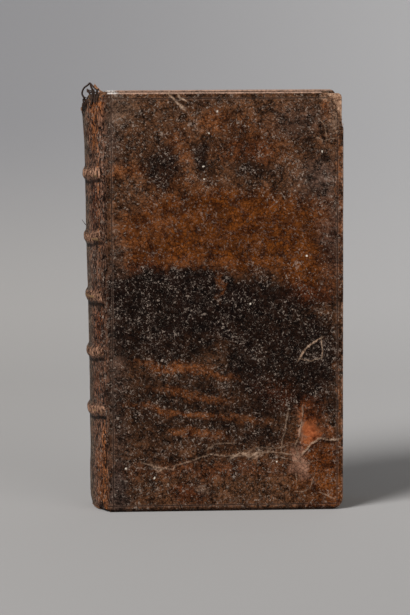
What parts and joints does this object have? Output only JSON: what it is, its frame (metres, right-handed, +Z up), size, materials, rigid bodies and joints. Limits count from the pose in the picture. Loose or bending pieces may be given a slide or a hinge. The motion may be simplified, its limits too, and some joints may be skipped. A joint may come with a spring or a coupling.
{
  "type": "antique leather book",
  "caption": "Small old book in mottled brown calf over pasteboards, with raised bands, a torn headcap and two opening covers.",
  "frame": {"origin": "middle of the book's outline on the surface it stands on", "axes": "+Z up from tail to head, +X from the spine to the fore-edge, front cover facing -Y"},
  "size_m": [0.1054, 0.0348, 0.17],
  "materials": {
    "calf": "mottled brown calf, worn, dull gloss",
    "pasteboard": "grey-tan layered pasteboard, worn corner",
    "leaves": "browned edges of rag-paper leaves",
    "endpaper": "plain aged laid paper, foxed",
    "lining_paper": "glue-stained paper",
    "hemp_cord": "twisted hemp",
    "endband_silk": "faded wound thread"
  },
  "bodies": {
    "leaves_and_spine": {"text_block": "leaves", "front_flyleaf": "endpaper", "rear_flyleaf": "endpaper", "spine_leather": "calf", "sewing_cord_1": "hemp_cord", "sewing_cord_2": "hemp_cord", "sewing_cord_3": "hemp_cord", "sewing_cord_4": "hemp_cord", "sewing_cord_5": "hemp_cord", "spine_lining_1": "lining_paper", "spine_lining_2": "lining_paper", "spine_lining_3": "lining_paper", "spine_lining_4": "lining_paper", "spine_lining_5": "lining_paper", "spine_lining_6": "lining_paper", "head_endband_core": "hemp_cord", "head_endband_silk": "endband_silk", "tail_endband_core": "hemp_cord", "tail_endband_silk": "endband_silk"},
    "front_cover": {"front_board": "pasteboard", "front_cover_leather": "calf", "front_pastedown": "endpaper", "front_cord_end_1": "hemp_cord", "front_cord_end_2": "hemp_cord", "front_cord_end_3": "hemp_cord", "front_cord_end_4": "hemp_cord", "front_cord_end_5": "hemp_cord"},
    "rear_cover": {"rear_board": "pasteboard", "rear_cover_leather": "calf", "rear_pastedown": "endpaper", "rear_cord_end_1": "hemp_cord", "rear_cord_end_2": "hemp_cord", "rear_cord_end_3": "hemp_cord", "rear_cord_end_4": "hemp_cord", "rear_cord_end_5": "hemp_cord"}
  },
  "joints": [
    {"name": "front_cover_hinge", "type": "hinge", "parent": "leaves_and_spine", "child": "front_cover", "pos_m": [-0.04333, -0.0174, 0], "axis": [0, 0, -1], "range_deg": [0, 170]},
    {"name": "rear_cover_hinge", "type": "hinge", "parent": "leaves_and_spine", "child": "rear_cover", "pos_m": [-0.04333, 0.0174, 0], "axis": [0, 0, 1], "range_deg": [0, 170]}
  ]
}
